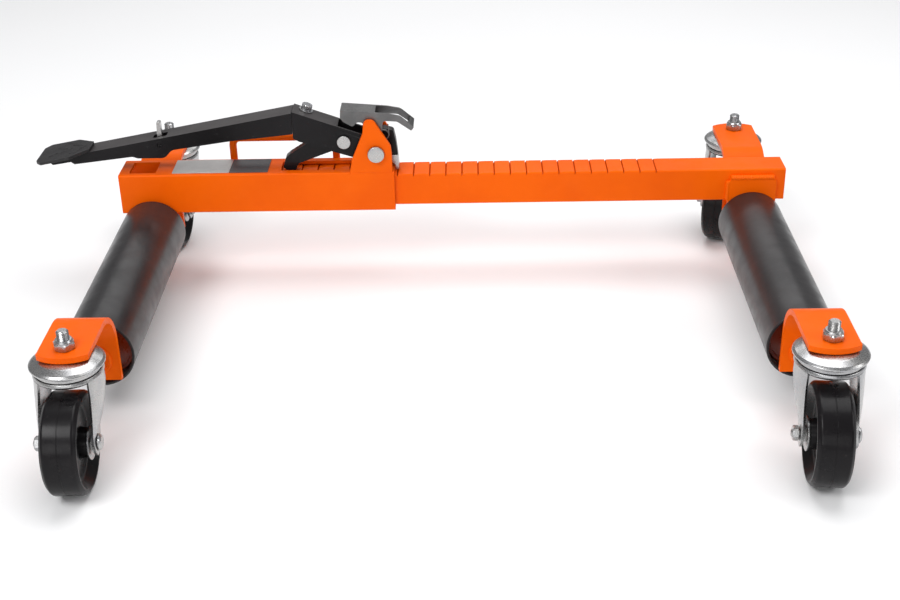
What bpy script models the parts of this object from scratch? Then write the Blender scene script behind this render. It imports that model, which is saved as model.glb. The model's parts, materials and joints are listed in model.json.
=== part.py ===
"""Ratcheting vehicle-positioning dolly: two rollers, a telescoping toothed beam, a foot pedal, four casters.

Millimetres while drawing, metres in the scene.  X runs along the beam, Y away from the open side, Z up.
"""
import math

import bmesh
import bpy
from mathutils import Matrix, Vector

# ---- driving dimensions (mm) -------------------------------------------------------------------
ORIGIN_X, ORIGIN_Y = -47.25, 249.4     # drawing point that becomes the part's origin
HALF_TRACK = 364.0                    # roller and caster axes, either side of the middle
NEAR_Y, FAR_Y = 0.0, 547.0            # caster swivel axes
WHEEL_R, WHEEL_HALF, TRAIL = 50.8, 17.5, 33.0
PLATE_TOP, PLATE_T, PLATE_HALF = 136.5, 6.0, 25.0
BEND_R, PLATE_LOW = 43.0, 48.6        # bracket bend (outside) and lower edge
REACH = 92.0                          # swivel axis to the roller side of the upright plate
ROLLER_R, ROLLER_WALL, AXLE_R, AXLE_Z = 38.1, 3.0, 10.0, 72.3
ROLLER_Y0, ROLLER_Y1 = 98.5, 401.5
BEAM_Y, BEAM_TOP = 430.0, 142.5       # beam centre line and top face
OUTER, OUTER_WALL, OUTER_X0, OUTER_X1 = 50.0, 4.0, -401.0, -67.5
INNER, INNER_WALL, INNER_X0, INNER_X1 = 40.0, 3.5, -215.0, 403.5
TOOTH_PITCH, TOOTH_FIRST, RACK_X1, TOOTH_DEEP = 19.5, -201.5, 253.0, 4.6
PIVOT = (-88.2, 166.6)                # main pivot, X and Z
PAWL_PIN = (-127.0, 177.5)
LATCH_PIN = (-349.5, 176.0)
ARM_FRONT, ARM_BACK, ARM_T = 13.0, 17.5, 3.0   # pedal channel either side of the beam line, sheet
CASTERS = {"near_left": (-1, NEAR_Y, 1.6), "near_right": (1, NEAR_Y, -5.0),
           "far_left": (-1, FAR_Y, -4.0), "far_right": (1, FAR_Y, -22.0)}

INNER_TOP = BEAM_TOP - (OUTER - INNER) / 2
MID_Z = BEAM_TOP - OUTER / 2

for old in list(bpy.data.objects):
    bpy.data.objects.remove(old, do_unlink=True)


# ---- materials ---------------------------------------------------------------------------------
def material(name, colour, rough, metal):
    mat = bpy.data.materials.new(name)
    mat.use_nodes = True
    node = mat.node_tree.nodes["Principled BSDF"]
    node.inputs["Base Color"].default_value = (*colour, 1.0)
    node.inputs["Roughness"].default_value = rough
    node.inputs["Metallic"].default_value = metal
    mat.diffuse_color = (*colour, 1.0)
    return mat


FINISH = {
    "orange": ((0.93, 0.16, 0.008), 0.38, 0.0),
    "black_paint": ((0.018, 0.018, 0.019), 0.42, 0.0),
    "roller_black": ((0.045, 0.045, 0.047), 0.36, 0.3),
    "zinc": ((0.66, 0.67, 0.68), 0.27, 1.0),
    "steel": ((0.30, 0.30, 0.31), 0.42, 0.8),
    "tyre": ((0.012, 0.012, 0.013), 0.24, 0.0),
    "label": ((0.55, 0.54, 0.52), 0.35, 0.7),
    "label_dark": ((0.07, 0.07, 0.075), 0.45, 0.2),
    "nylon": ((0.02, 0.02, 0.02), 0.6, 0.0),
}


# ---- mesh helpers: each returns (points, faces) -------------------------------------------------
def prism(outline, y0, y1):
    """Outline in X and Z, pushed along Y."""
    n = len(outline)
    pts = [(x, y0, z) for x, z in outline] + [(x, y1, z) for x, z in outline]
    faces = [tuple(range(n)), tuple(range(2 * n - 1, n - 1, -1))]
    faces += [(i, i + n, (i + 1) % n + n, (i + 1) % n) for i in range(n)]
    return pts, faces


def box(x0, x1, y0, y1, z0, z1):
    return prism([(x0, z0), (x1, z0), (x1, z1), (x0, z1)], y0, y1)


def spin(profile, segments, loop=False):
    """Profile of (radius, height) turned about Z; loop=True closes it into a ring."""
    pts, rows = [], []
    for r, h in profile:
        if r < 1e-6:
            rows.append([len(pts)] * segments)
            pts.append((0.0, 0.0, h))
        else:
            rows.append(list(range(len(pts), len(pts) + segments)))
            for k in range(segments):
                a = 2 * math.pi * k / segments
                pts.append((r * math.cos(a), r * math.sin(a), h))
    faces = []
    for i in range(len(rows) if loop else len(rows) - 1):
        a, b = rows[i], rows[(i + 1) % len(rows)]
        for k in range(segments):
            quad = [a[k], a[(k + 1) % segments], b[(k + 1) % segments], b[k]]
            face = [v for j, v in enumerate(quad) if v != quad[j - 1]]
            if len(face) > 2:
                faces.append(tuple(face))
    return pts, faces


def shell(outer, inner):
    """Closed body between two grids of the same size (rows of points)."""
    rows, cols = len(outer), len(outer[0])
    pts = [p for row in outer for p in row] + [p for row in inner for p in row]
    base = rows * cols

    def at(i, j, side):
        return side * base + i * cols + j
    faces = []
    for i in range(rows - 1):
        for j in range(cols - 1):
            for side in (0, 1):
                faces.append((at(i, j, side), at(i + 1, j, side), at(i + 1, j + 1, side), at(i, j + 1, side)))
    for i in range(rows - 1):
        for j in (0, cols - 1):
            faces.append((at(i, j, 0), at(i + 1, j, 0), at(i + 1, j, 1), at(i, j, 1)))
    for j in range(cols - 1):
        for i in (0, rows - 1):
            faces.append((at(i, j, 0), at(i, j + 1, 0), at(i, j + 1, 1), at(i, j, 1)))
    return pts, faces


def rod(path, radius, sides):
    """Round rod along a list of points, ends closed."""
    path = [Vector(p) for p in path]
    pts, faces = [], []
    side = None
    for i, p in enumerate(path):
        ahead = path[min(i + 1, len(path) - 1)] - path[max(i - 1, 0)]
        ahead.normalize()
        if side is None:
            side = ahead.orthogonal().normalized()
        side = (side - ahead * side.dot(ahead)).normalized()
        up = ahead.cross(side)
        for k in range(sides):
            a = 2 * math.pi * k / sides
            pts.append(tuple(p + (side * math.cos(a) + up * math.sin(a)) * radius))
    for i in range(len(path) - 1):
        for k in range(sides):
            m = (k + 1) % sides
            faces.append((i * sides + k, i * sides + m, (i + 1) * sides + m, (i + 1) * sides + k))
    faces.append(tuple(range(sides)))
    faces.append(tuple(range(len(pts) - 1, len(pts) - sides - 1, -1)))
    return pts, faces


def square_loop(half, radius, steps=3):
    out = []
    for q, (sx, sy) in enumerate(((1, 1), (-1, 1), (-1, -1), (1, -1))):
        for k in range(steps):
            a = math.pi / 2 * (q + k / (steps - 1))
            flat = half - radius
            out.append((sx * flat + radius * math.cos(a), sy * flat + radius * math.sin(a)))
    return out


def tube_x(half, wall, radius, x0, x1):
    """Square tube along X centred on the beam line."""
    loops = []
    for h, r in ((half, radius), (half - wall, max(radius - 1.5, 0.8))):
        for x in (x0, x1):
            loops.append([(x, BEAM_Y + a, MID_Z + b) for a, b in square_loop(h, r)])
    n = len(loops[0])
    pts = [p for loop in loops for p in loop]
    faces = []
    for k in range(n):
        m = (k + 1) % n
        faces += [(k, m, n + m, n + k), (2 * n + k, 2 * n + m, 3 * n + m, 3 * n + k),
                  (k, m, 2 * n + m, 2 * n + k), (n + k, n + m, 3 * n + m, 3 * n + k)]
    return pts, faces


def hexagon(flats, bore, z0, z1):
    """Six-sided nut standing on Z."""
    n = 12
    big = flats / math.sqrt(3)
    ring = [big if k % 2 == 0 else flats / 2 for k in range(n)]
    pts = []
    for z in (z0, z1):
        for rad in (ring, [bore] * n):
            for k in range(n):
                a = 2 * math.pi * k / n
                pts.append((rad[k] * math.cos(a), rad[k] * math.sin(a), z))
    faces = []
    for k in range(n):
        m = (k + 1) % n
        faces += [(k, m, 2 * n + m, 2 * n + k), (n + k, n + m, 3 * n + m, 3 * n + k),
                  (k, m, n + m, n + k), (2 * n + k, 2 * n + m, 3 * n + m, 3 * n + k)]
    return pts, faces


def moved(body, matrix):
    return [tuple(matrix @ Vector(p)) for p in body[0]], body[1]


ALONG_Y = Matrix.Rotation(math.radians(-90), 4, "X")     # Z axis of a spun body laid along +Y
ALONG_X = Matrix.Rotation(math.radians(90), 4, "Y")      # ... and along +X


def at(x, y, z):
    return Matrix.Translation((x, y, z))


def cyl_y(x, z, r, y0, y1, n=16):
    return moved(spin([(0, y0), (r, y0), (r, y1), (0, y1)], n), at(x, 0, z) @ ALONG_Y)


def cyl_z(x, y, r, z0, z1, n=20):
    return moved(spin([(0, z0), (r, z0), (r, z1), (0, z1)], n), at(x, y, 0))


# ---- objects -----------------------------------------------------------------------------------
def raw(name, body):
    mesh = bpy.data.meshes.new(name)
    mesh.from_pydata(body[0], [], body[1])
    bm = bmesh.new()
    bm.from_mesh(mesh)
    bmesh.ops.remove_doubles(bm, verts=bm.verts, dist=1e-4)
    bmesh.ops.recalc_face_normals(bm, faces=bm.faces)
    bm.to_mesh(mesh)
    bm.free()
    obj = bpy.data.objects.new(name, mesh)
    bpy.context.collection.objects.link(obj)
    return obj


def combine(obj, body, how):
    tool = raw(obj.name + "_tool", body)
    mod = obj.modifiers.new("step", "BOOLEAN")
    mod.operation, mod.solver, mod.object = how, "EXACT", tool
    bpy.context.view_layer.update()
    graph = bpy.context.evaluated_depsgraph_get()
    mesh = bpy.data.meshes.new_from_object(obj.evaluated_get(graph))
    obj.modifiers.clear()
    obj.data = mesh
    bpy.data.objects.remove(tool, do_unlink=True)


def piece(name, body, finish, pivot=(0.0, 0.0, 0.0), add=(), cut=(), smooth=True):
    obj = raw(name, body)
    for extra in add:
        combine(obj, extra, "UNION")
    for tool in cut:
        combine(obj, tool, "DIFFERENCE")
    px, py, pz = pivot
    mesh = obj.data
    mesh.transform(Matrix.Scale(0.001, 4) @ at(-px, -py, -pz))
    bm = bmesh.new()
    bm.from_mesh(mesh)
    bmesh.ops.remove_doubles(bm, verts=bm.verts, dist=2e-6)
    bmesh.ops.dissolve_degenerate(bm, edges=bm.edges, dist=2e-6)
    bmesh.ops.recalc_face_normals(bm, faces=bm.faces)
    for face in bm.faces:
        face.smooth = smooth
    for edge in bm.edges:
        if len(edge.link_faces) == 2 and edge.calc_face_angle(0.0) > math.radians(35):
            edge.smooth = False
    bm.to_mesh(mesh)
    bm.free()
    mesh.materials.clear()
    mesh.materials.append(material(name + "_finish", *FINISH[finish]))
    obj.location = ((px - ORIGIN_X) / 1000, (py - ORIGIN_Y) / 1000, pz / 1000)
    return obj


# ---- beam --------------------------------------------------------------------------------------
SLOT = (-205.0, -121.0)
piece("outer_beam", tube_x(OUTER / 2, OUTER_WALL, 2.2, OUTER_X0, OUTER_X1), "orange",
      cut=[box(*SLOT, BEAM_Y - 14, BEAM_Y + 14, MID_Z + 10, BEAM_TOP + 9),
           box(-389.0, -357.0, BEAM_Y - 17, BEAM_Y + 17, MID_Z + 10, BEAM_TOP + 9)])

piece("inner_beam", tube_x(INNER / 2, INNER_WALL, 2.2, INNER_X0, INNER_X1), "orange",
      pivot=(INNER_X0, BEAM_Y, MID_Z),
      cut=[box(INNER_X0 - 5, RACK_X1 + 0.3, BEAM_Y - 30, BEAM_Y + 30, INNER_TOP - 6.2, INNER_TOP + 9)])

teeth = [(INNER_X0 + 0.5, INNER_TOP - 5.9), (RACK_X1, INNER_TOP - 5.9), (RACK_X1, INNER_TOP)]
count = int((RACK_X1 - 8 - TOOTH_FIRST) // TOOTH_PITCH)
for k in range(count, -1, -1):
    x = TOOTH_FIRST + k * TOOTH_PITCH
    teeth += [(x + 8.0, INNER_TOP), (x + 3.0, INNER_TOP - 1.4), (x + 0.6, INNER_TOP - TOOTH_DEEP)]
    teeth.append((x, INNER_TOP))
teeth.append((INNER_X0 + 0.5, INNER_TOP))
piece("ratchet_rack", prism(teeth, BEAM_Y - INNER / 2, BEAM_Y + INNER / 2), "orange",
      pivot=(INNER_X0, BEAM_Y, MID_Z), smooth=False)

EAR = [(-121.0, BEAM_TOP + 0.1), (-117.5, 159.0), (-103.0, 191.5), (-101.8, 202.0), (-99.5, 206.5),
       (-95.5, 208.5), (-91.5, 207.5), (-88.5, 204.0), (-81.0, 192.5), (-70.8, 176.0), (-69.5, 168.0),
       (-69.5, BEAM_TOP + 0.1)]
for tag, y0 in (("front", BEAM_Y - 25), ("rear", BEAM_Y + 20)):
    piece("ear_" + tag, prism(EAR, y0, y0 + 5), "orange", smooth=False,
          cut=[cyl_y(PIVOT[0], PIVOT[1], 5.4, y0 - 3, y0 + 8)])

pin = [(0, BEAM_Y - 30.2), (9.2, BEAM_Y - 30.2), (10.0, BEAM_Y - 29.4), (10.0, BEAM_Y - 25.2),
       (5.0, BEAM_Y - 25.2), (5.0, BEAM_Y + 25.3), (8.5, BEAM_Y + 25.3), (8.5, BEAM_Y + 28.3),
       (0, BEAM_Y + 28.3)]
piece("main_pivot_pin", moved(spin(pin, 16), at(PIVOT[0], 0, PIVOT[1]) @ ALONG_Y), "zinc")

for tag, x0, x1, finish in (("label_strip", -336.5, -267.3, "label"),
                            ("rating_plate", -266.9, -220.5, "label_dark")):
    piece(tag, box(x0, x1, BEAM_Y - 20.5, BEAM_Y + 20.5, BEAM_TOP + 0.1, BEAM_TOP + 0.9), finish,
          smooth=False)

# bent rod behind the beam for carrying
path = []
for cx, a0, a1 in ((-268.0 + 9, 180, 90), (-141.0 - 9, 90, 0)):
    for k in range(5):
        a = math.radians(a0 + (a1 - a0) * k / 4)
        path.append((cx + 9 * math.cos(a), BEAM_Y + 30, 159.0 + 9 * math.sin(a)))
path = [(-268.0, BEAM_Y + 30, 104.0)] + path + [(-141.0, BEAM_Y + 30, 104.0)]
piece("carry_handle", rod(path, 4.5, 8), "orange")


# ---- brackets, axles, rollers --------------------------------------------------------------------
def bracket_rows(reach, offset):
    """Side line of the bent plate from its free end down to its lower edge; offset is into the sheet."""
    rows = [(None, PLATE_TOP - offset)]
    start = reach - BEND_R
    rows.append((start, PLATE_TOP - offset))
    steps = 6
    for k in range(1, steps + 1):
        a = math.pi / 2 * k / steps
        r = BEND_R - offset
        rows.append((start + r * math.sin(a), PLATE_TOP - BEND_R + r * math.cos(a)))
    rows.append((reach - offset, PLATE_LOW))
    return rows


def bracket(name, side, base, sign, reach):
    xs = [PLATE_HALF * k / 2 for k in range(-2, 3)]
    grids = []
    for offset in (0.0, PLATE_T):
        grid = []
        for y, z in bracket_rows(reach, offset):
            row = []
            for x in xs:
                front = -20.4 + 42.0 - math.sqrt(42.0 ** 2 - x * x)
                row.append((side * HALF_TRACK + x, base + sign * (front if y is None else y), z))
            grid.append(row)
        grids.append(grid)
    plate = base + sign * reach
    piece(name, shell(*grids), "orange",
          cut=[cyl_z(side * HALF_TRACK, base, 6.5, PLATE_TOP - 20, PLATE_TOP + 9, 16),
               cyl_y(side * HALF_TRACK, AXLE_Z, AXLE_R + 0.45, plate - 12, plate + 12, 16)])


bracket("bracket_near_left", -1, NEAR_Y, 1, REACH)
bracket("bracket_near_right", 1, NEAR_Y, 1, REACH)
bracket("bracket_far_left", -1, FAR_Y, -1, REACH)
bracket("bracket_far_right", 1, FAR_Y, -1, REACH + 5)

for tag, side, far in (("left", -1, 461.7), ("right", 1, 456.7)):
    y0 = REACH - PLATE_T - 0.8
    rodline = [(0, y0), (AXLE_R, y0), (AXLE_R, far), (0, far)]
    piece("axle_" + tag, moved(spin(rodline, 20), at(side * HALF_TRACK, 0, AXLE_Z) @ ALONG_Y), "orange")

saddle = [(-29.0, 52.0), (29.0, 52.0), (29.0, 123.0), (25.0, 127.0), (-25.0, 127.0), (-29.0, 123.0)]
piece("saddle_plate", prism([(HALF_TRACK + x, z) for x, z in saddle], BEAM_Y - 24.8, BEAM_Y - 20.3), "orange",
      cut=[cyl_y(HALF_TRACK, AXLE_Z, AXLE_R + 0.45, BEAM_Y - 35, BEAM_Y - 10, 16)], smooth=False)

for tag, side, end in (("left", -1, ROLLER_Y1), ("right", 1, ROLLER_Y1 + 2.8)):
    place = at(side * HALF_TRACK, 0, AXLE_Z) @ ALONG_Y
    r0, r1 = ROLLER_R - ROLLER_WALL, ROLLER_R
    wall = [(r0, ROLLER_Y0), (r1, ROLLER_Y0), (r1, end), (r0, end)]
    axis = (side * HALF_TRACK, BEAM_Y, AXLE_Z)
    piece("roller_" + tag, moved(spin(wall, 40, loop=True), place), "roller_black", pivot=axis)
    for where, y in (("near", ROLLER_Y0 + 16), ("far", end - 26)):
        disc = [(AXLE_R + 0.6, y), (r0 - 0.45, y), (r0 - 0.45, y + 9), (AXLE_R + 0.6, y + 9)]
        piece(f"bushing_{where}_{tag}", moved(spin(disc, 20, loop=True), place), "nylon", pivot=axis)


# ---- casters -------------------------------------------------------------------------------------
def fork_leg(side):
    rows = [(112.0, 33.0, 9.0, 0.0, 25.0), (95.0, 33.1, 8.0, -3.5, 26.0), (76.0, 31.2, 5.4, -15.0, 22.5),
            (59.5, 27.4, 1.6, -28.0, 16.0), (47.0, 27.3, 0.3, -33.3, 11.8), (39.5, 27.0, 0.0, -33.3, 6.0)]
    outer, inner = [], []
    for i, (z, reach, bow, mid, half) in enumerate(rows):
        a, b = [], []
        for j in range(5):
            u = j / 2 - 1
            turn = math.radians(50 * u) * bow / 11.8
            x = reach - bow * u * u
            y = mid + half * (math.sin(math.radians(50 * u)) / math.sin(math.radians(50)) if i == 0 else u)
            a.append((side * x, y, z))
            b.append((side * (x - 2.6 * math.cos(turn)), y - 2.6 * math.sin(turn), z))
        outer.append(a)
        inner.append(b)
    return shell(outer, inner)


RACE = [(0, 156), (6, 156), (6, 130.4), (18, 130.4), (34.0, 124.6), (36.4, 121.8), (33.8, 118.8),
        (34.9, 117.0), (34.0, 115.3), (6, 115.3), (6, 108.4), (11, 108.4), (9, 104), (0, 104)]
CROWN = [(6.8, 109), (33.2, 109), (34.2, 112), (33.0, 114.8), (6.8, 114.8)]
WHEEL = [(8.4, -19), (14, -19), (16, -9), (37, -9), (43, -WHEEL_HALF), (WHEEL_R, -12.5),
         (WHEEL_R, 12.5), (43, WHEEL_HALF), (37, 9), (16, 9), (14, 19), (8.4, 19)]
HUB = [(4.5, -22), (8, -22), (17, -21), (17, -19.3), (8, -19.3), (8, 19.3), (17, 19.3), (17, 21), (8, 22),
       (4.5, 22)]
BOLT = [(0, -35), (4, -35), (4, -33.2), (7.4, -33.2), (7.4, -27.7), (4, -27.7), (4, 27.7), (7.2, 27.7),
        (6.4, 31.4), (0, 31.4)]

for corner, (side, y, yaw) in CASTERS.items():
    x = side * HALF_TRACK
    fixed = at(x, y, 0)
    turned = fixed @ Matrix.Rotation(math.radians(yaw), 4, "Z")
    wheel_at = turned @ at(0, -TRAIL, WHEEL_R)
    spin_axis = tuple(wheel_at @ Vector((0, 0, 0)))
    swivel = (x, y, 112.0)
    piece(f"caster_{corner}_race", moved(spin(RACE, 20), fixed), "zinc", pivot=swivel)
    piece(f"caster_{corner}_nut", moved(hexagon(19, 6.3, PLATE_TOP + 0.2, PLATE_TOP + 10.5), fixed), "zinc",
          smooth=False)
    bore = moved(spin([(0, -60), (4.4, -60), (4.4, 60), (0, 60)], 12), at(0, -TRAIL, WHEEL_R) @ ALONG_X)
    piece(f"caster_{corner}_fork", moved(spin(CROWN, 20, loop=True), turned), "zinc", pivot=swivel,
          add=[moved(fork_leg(s), turned) for s in (-1, 1)], cut=[moved(bore, turned)])
    hub_at = wheel_at @ ALONG_X
    piece(f"caster_{corner}_wheel", moved(spin(WHEEL, 24, loop=True), hub_at), "tyre", pivot=spin_axis)
    piece(f"caster_{corner}_hub", moved(spin(HUB, 10, loop=True), hub_at), "zinc", pivot=spin_axis)
    piece(f"caster_{corner}_bolt", moved(spin(BOLT, 8), hub_at), "zinc", pivot=swivel)

# ---- pedal ---------------------------------------------------------------------------------------
Y0, Y1 = BEAM_Y - ARM_FRONT, BEAM_Y + ARM_BACK
MAIN = (PIVOT[0], BEAM_Y, PIVOT[1])


def arm_top(x):
    return 160.2 + (x + 483.0) * 0.1838


FOOT, BEND = -483.0, -188.0
under = [(FOOT, 152.6), (-458.5, 156.6), (-454.5, 153.6), (-383.0, 162.2), (-377.0, 160.0), (-344.0, 160.0),
         (-335.0, 170.0), (-263.0, 180.4), (BEND, 188.0)]
arm = under + [(BEND, arm_top(BEND)), (FOOT, arm_top(FOOT))]
void = [(FOOT + 3, 130.0), (BEND + 9, 130.0), (BEND + 9, arm_top(BEND + 9) - ARM_T),
        (FOOT + 3, arm_top(FOOT + 3) - ARM_T)]
piece("pedal_arm", prism(arm, Y0, Y1), "black_paint", pivot=MAIN, smooth=False,
      cut=[prism(void, Y0 + ARM_T, Y1 - ARM_T), box(-357.5, -340.5, BEAM_Y - 6, BEAM_Y + 6, 176.5, 199.0),
           cyl_y(*LATCH_PIN, 2.7, Y0 - 5, Y1 + 5, 12)])

top_left, top_right = (-187.6, 216.2), (-107.0, 187.0)
hinge = [top_left, (-187.6, 182.5), (-181.0, 178.6), (-171.0, 175.6), (-143.0, 166.0), (-118.0, 158.0), (-97.0, 153.6),
         (-88.0, 152.8), (-79.0, 156.0), (-74.5, 163.0), (-75.0, 171.0), (-80.0, 177.5), top_right]
slope = (top_right[1] - top_left[1]) / (top_right[0] - top_left[0])
hollow = [(-199.0, 120.0), (-60.0, 120.0), (-60.0, 240.0), (-134.0, 240.0)]
hollow += [(x, top_left[1] - 3.2 + (x - top_left[0]) * slope) for x in (-134.0, -199.0)]
tilt = math.atan(slope)
screw_x, screw_y = -172.5, BEAM_Y + 8.0
screw_z = top_left[1] + (screw_x - top_left[0]) * slope
screw_at = at(screw_x, screw_y, screw_z) @ Matrix.Rotation(-tilt, 4, "Y")
piece("hinge_arm", prism(hinge, Y0, Y1), "black_paint", pivot=MAIN, smooth=False,
      cut=[prism(hollow, Y0 + ARM_T, Y1 - ARM_T), cyl_y(*PIVOT, 5.4, Y0 - 5, Y1 + 5),
           cyl_y(*PAWL_PIN, 4.4, Y0 - 5, Y1 + 5, 16),
           moved(spin([(0, -8), (4.3, -8), (4.3, 8), (0, 8)], 12), screw_at)])

screw = [(0, -9), (3.9, -9), (3.9, 0.2), (8.6, 0.2), (8.6, 1.6), (7.2, 1.8), (7.2, 7.2), (6.2, 8.0), (0, 8.0)]
piece("pedal_screw", moved(spin(screw, 12), screw_at), "zinc", pivot=MAIN, smooth=False)

PAD_X0, PAD_X1 = -498.0, -434.0
pad = [(PAD_X0, arm_top(PAD_X0) + 0.5), (PAD_X1, arm_top(PAD_X1) + 0.5), (PAD_X1, arm_top(PAD_X1) + 3.6)]
for k in range(7, -1, -1):
    x = PAD_X0 + 4 + k * 7.2
    for dx, dz in ((4.4, 3.6), (3.6, 5.0), (1.2, 5.0), (0.4, 3.6)):
        pad.append((x + dx, arm_top(x + dx) + dz))
pad.append((PAD_X0, arm_top(PAD_X0) + 3.6))
piece("pedal_pad", prism(pad, BEAM_Y - 29, BEAM_Y + 29), "nylon", pivot=MAIN, smooth=False)

pawl_y = (BEAM_Y - 6.8, BEAM_Y + 6.8)
pawl = [(-136.0, 185.5), (-127.0, 187.5), (-119.5, 184.5), (-117.3, 177.0), (-121.0, 169.5), (-142.0, 163.5),
        (-184.0, 147.8), (-186.5, 142.0), (-188.0, 139.6), (-198.5, 139.6), (-203.0, 143.0), (-199.0, 155.5),
        (-193.5, 160.2), (-171.5, 174.0)]
PAWL = (PAWL_PIN[0], BEAM_Y, PAWL_PIN[1])
piece("drive_pawl", prism(pawl, *pawl_y), "black_paint", pivot=PAWL, smooth=False,
      cut=[cyl_y(*PAWL_PIN, 4.5, Y0, Y1, 16)])
pin = [(0, Y0 - 3.2), (8.2, Y0 - 3.2), (8.2, Y0 - 0.2), (4, Y0 - 0.2), (4, Y1 + 0.2), (7.5, Y1 + 0.2),
       (7.5, Y1 + 2.2), (0, Y1 + 2.2)]
piece("pawl_pin", moved(spin(pin, 16), at(PAWL_PIN[0], 0, PAWL_PIN[1]) @ ALONG_Y), "zinc", pivot=PAWL)

# storage latch through the slot in the arm
hook = [(-351.6, 201.0), (-350.6, 202.6), (-348.4, 202.6), (-347.4, 201.0), (-346.4, 182.0), (-344.6, 176.0),
        (-346.8, 171.2), (-352.5, 163.0), (-360.5, 161.4), (-361.5, 164.6), (-354.4, 174.0), (-352.6, 184.0)]
LATCH = (LATCH_PIN[0], BEAM_Y, LATCH_PIN[1])
piece("storage_latch", prism(hook, BEAM_Y - 4, BEAM_Y + 4), "zinc", pivot=LATCH, smooth=False,
      cut=[cyl_y(*LATCH_PIN, 2.6, BEAM_Y - 8, BEAM_Y + 8, 12)])
piece("latch_pin", cyl_y(*LATCH_PIN, 2.2, Y0, Y1, 10), "black_paint", pivot=MAIN)

# ---- release handle and holding pawl ---------------------------------------------------------------
CHEEK = [(-129.0, 219.2), (-129.5, 210.2), (-126.0, 205.2), (-115.0, 198.7), (-110.0, 204.2),
         (-103.0, 204.2), (-97.0, 190.0), (-98.5, 166.6), (-95.5, 159.5), (-88.2, 156.5), (-80.9, 159.5),
         (-78.0, 166.6), (-80.5, 188.0), (-79.0, 205.7), (-62.0, 204.6), (-45.5, 192.7), (-42.0, 197.2),
         (-59.0, 211.7), (-75.0, 214.7)]
REAR = [(-129.0, 219.2), (-129.0, 215.4), (-122.0, 212.7), (-100.0, 207.7), (-79.0, 205.7), (-62.0, 204.6),
        (-45.5, 192.7), (-42.0, 197.2), (-59.0, 211.7), (-75.0, 214.7)]
BAR = (BEAM_Y - 19.3, BEAM_Y + 9.3)
bridge = [(-129.0, 216.6), (-88.0, 213.2), (-88.0, 215.8), (-129.0, 219.2)]
loop = [(-51.0, 196.7), (-45.5, 192.7), (-42.0, 197.2), (-47.5, 201.4)]
piece("release_handle", prism(CHEEK, BAR[0], BAR[0] + 2.6), "steel", pivot=MAIN, smooth=False,
      add=[prism(REAR, BAR[1] - 2.6, BAR[1]), prism(bridge, BAR[0] + 0.5, BAR[1] - 0.5),
           prism(loop, BAR[0] + 0.5, BAR[1] - 0.5)],
      cut=[cyl_y(*PIVOT, 5.5, BAR[0] - 5, BAR[1] + 5)])

holder = [(-95.5, 174.0), (-88.2, 177.8), (-85.0, 186.0), (-80.0, 192.0), (-67.5, 188.5), (-65.0, 176.0),
          (-63.5, 162.0), (-62.3, 150.0), (-62.0, 139.0), (-66.4, 138.4), (-66.8, 144.2), (-74.0, 150.0),
          (-80.0, 155.0), (-88.2, 155.6), (-96.0, 159.0), (-99.0, 166.6)]
piece("holding_pawl", prism(holder, BEAM_Y - 6.2, BEAM_Y + 6.2), "zinc", pivot=MAIN, smooth=False,
      cut=[cyl_y(*PIVOT, 5.5, Y0, Y1)])

turns = [(-73.2, BEAM_Y - 14.8, 200.5), (-72.6, BEAM_Y - 14.8, 193.0)]
for k in range(22):
    a = math.radians(36 * k)
    turns.append((-78.6 + 6.0 * math.cos(a), BEAM_Y - 14.8 + 0.28 * k, 187.0 + 6.0 * math.sin(a)))
piece("pawl_spring", rod(turns, 0.9, 5), "steel")
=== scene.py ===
"""Looks of the ratcheting wheel dolly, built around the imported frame.

Shapes are drawn in millimetres with X along the beam, Y away from the open side and Z up, from the sizes
that the frame gives, and go into the frame in metres.
"""
import json
import math

import bmesh
import bpy
from mathutils import Matrix, Vector


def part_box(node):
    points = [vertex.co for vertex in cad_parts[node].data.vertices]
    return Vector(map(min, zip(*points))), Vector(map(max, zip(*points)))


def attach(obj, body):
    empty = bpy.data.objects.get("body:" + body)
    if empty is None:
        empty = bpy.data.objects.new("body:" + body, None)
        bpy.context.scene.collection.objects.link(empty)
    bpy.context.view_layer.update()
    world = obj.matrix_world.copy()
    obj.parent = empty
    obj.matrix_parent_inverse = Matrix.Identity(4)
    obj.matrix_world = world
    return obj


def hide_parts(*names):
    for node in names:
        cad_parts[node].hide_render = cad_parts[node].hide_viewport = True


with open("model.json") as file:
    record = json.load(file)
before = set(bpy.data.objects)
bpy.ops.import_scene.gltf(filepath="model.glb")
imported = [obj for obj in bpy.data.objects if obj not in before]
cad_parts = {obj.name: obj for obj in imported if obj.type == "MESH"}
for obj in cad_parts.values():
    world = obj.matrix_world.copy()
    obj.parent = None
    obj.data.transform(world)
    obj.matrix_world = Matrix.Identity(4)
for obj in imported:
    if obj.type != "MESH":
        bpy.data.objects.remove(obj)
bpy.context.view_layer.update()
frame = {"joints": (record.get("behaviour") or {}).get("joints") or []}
JOINTS = {j["name"]: j for j in frame["joints"]}


def span(node):
    """Lowest and highest corner of a node in millimetres."""
    low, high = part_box(node)
    return low * 1000, high * 1000


# ---- sizes taken from the frame (mm) -------------------------------------------------------------
TUBE0, TUBE1 = span("outer_beam")
BAR0, BAR1 = span("inner_beam")
RACK0, RACK1 = span("ratchet_rack")
BEAM_Y = (TUBE0.y + TUBE1.y) / 2
OUTER, INNER = TUBE1.y - TUBE0.y, BAR1.y - BAR0.y
BEAM_TOP, INNER_TOP = TUBE1.z, RACK1.z
MID_Z = (TUBE0.z + TUBE1.z) / 2
PIVOT = [v * 1000 for v in JOINTS["pedal_pivot"]["pos_m"]]
PAWL = [v * 1000 for v in JOINTS["drive_pawl_pivot"]["pos_m"]]
LATCH = [v * 1000 for v in JOINTS["storage_latch_pivot"]["pos_m"]]
PX, PZ = PIVOT[0], PIVOT[2]


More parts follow.
